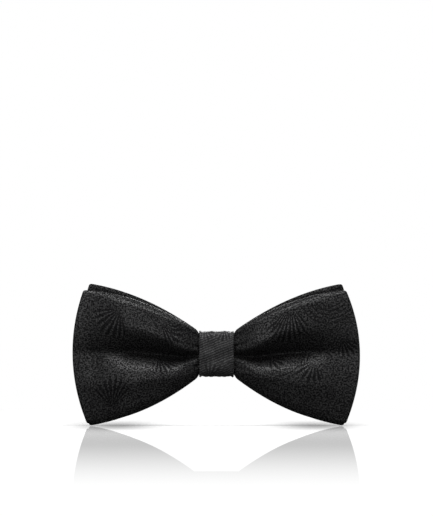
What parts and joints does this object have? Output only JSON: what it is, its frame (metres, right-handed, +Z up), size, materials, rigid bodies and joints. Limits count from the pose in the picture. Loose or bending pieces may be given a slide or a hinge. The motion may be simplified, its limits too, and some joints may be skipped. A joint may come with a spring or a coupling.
{
  "type": "bow tie",
  "caption": "Pre-tied double-layer bow tie with a centre knot, on an adjustable neckband that closes with a hook and an eye.",
  "frame": {"origin": "under the middle of the object's box, at the height of the rear bow's lower corners", "axes": "+Z up, the bow faces -Y, the neckband runs back along +Y, +X is to the right seen from the front"},
  "size_m": [0.1202, 0.1664, 0.0594],
  "materials": {
    "bow_cloth": "satin jacquard with a tone-on-tone leaf figure",
    "band_cloth": "plain satin",
    "interlining": "woven stiffener",
    "thread": "spun sewing thread",
    "hardware": "nickel plated"
  },
  "bodies": {
    "bow": {"front_bow_face": "bow_cloth", "front_bow_interlining": "interlining", "front_bow_back": "bow_cloth", "rear_bow_face": "bow_cloth", "rear_bow_interlining": "interlining", "rear_bow_back": "bow_cloth", "gather_thread": "thread", "knot_wrap": "bow_cloth", "knot_interlining": "interlining", "knot_back_stitches": "thread", "neckband_centre": "band_cloth", "neckband_centre_interlining": "interlining"},
    "left_side": {"left_band": "band_cloth", "left_band_interlining": "interlining", "hook_loop": "band_cloth", "hook_loop_stitches": "thread"},
    "hook": {"hook": "hardware"},
    "right_side": {"right_band": "band_cloth", "right_band_interlining": "interlining"},
    "slider": {"slider": "hardware", "band_hump": "band_cloth"},
    "eye_carriage": {"band_free_run": "band_cloth", "band_returned_layer": "band_cloth", "eye_loop": "band_cloth", "eye_loop_stitches": "thread"},
    "eye": {"eye": "hardware"}
  },
  "joints": [
    {"name": "left_band_swing", "type": "hinge", "parent": "bow", "child": "left_side", "pos_m": [-0.048, -0.0399, 0.03], "axis": [0, 0, 1], "range_deg": [0, 70]},
    {"name": "right_band_swing", "type": "hinge", "parent": "bow", "child": "right_side", "pos_m": [0.048, -0.0399, 0.03], "axis": [0, 0, 1], "range_deg": [-70, 0]},
    {"name": "hook_pivot", "type": "hinge", "parent": "left_side", "child": "hook", "pos_m": [0.048, 0.0297, 0.03], "axis": [0, 0, 1], "range_deg": [-75, 75]},
    {"name": "slider_slide", "type": "slide", "parent": "right_side", "child": "slider", "axis": [0, -1, 0], "range_m": [0, 0.023]},
    {"name": "eye_carriage_slide", "type": "slide", "parent": "right_side", "child": "eye_carriage", "axis": [0, -1, 0], "range_m": [0, 0.0115], "deforming": ["band_free_run", "band_returned_layer"]},
    {"name": "eye_pivot", "type": "hinge", "parent": "eye_carriage", "child": "eye", "pos_m": [0.0473, 0.0063, 0.03], "axis": [0, 0, 1], "range_deg": [-75, 75]}
  ],
  "couplings": [
    {"joint": "eye_carriage_slide", "follows": "slider_slide", "ratio": 0.5}
  ]
}
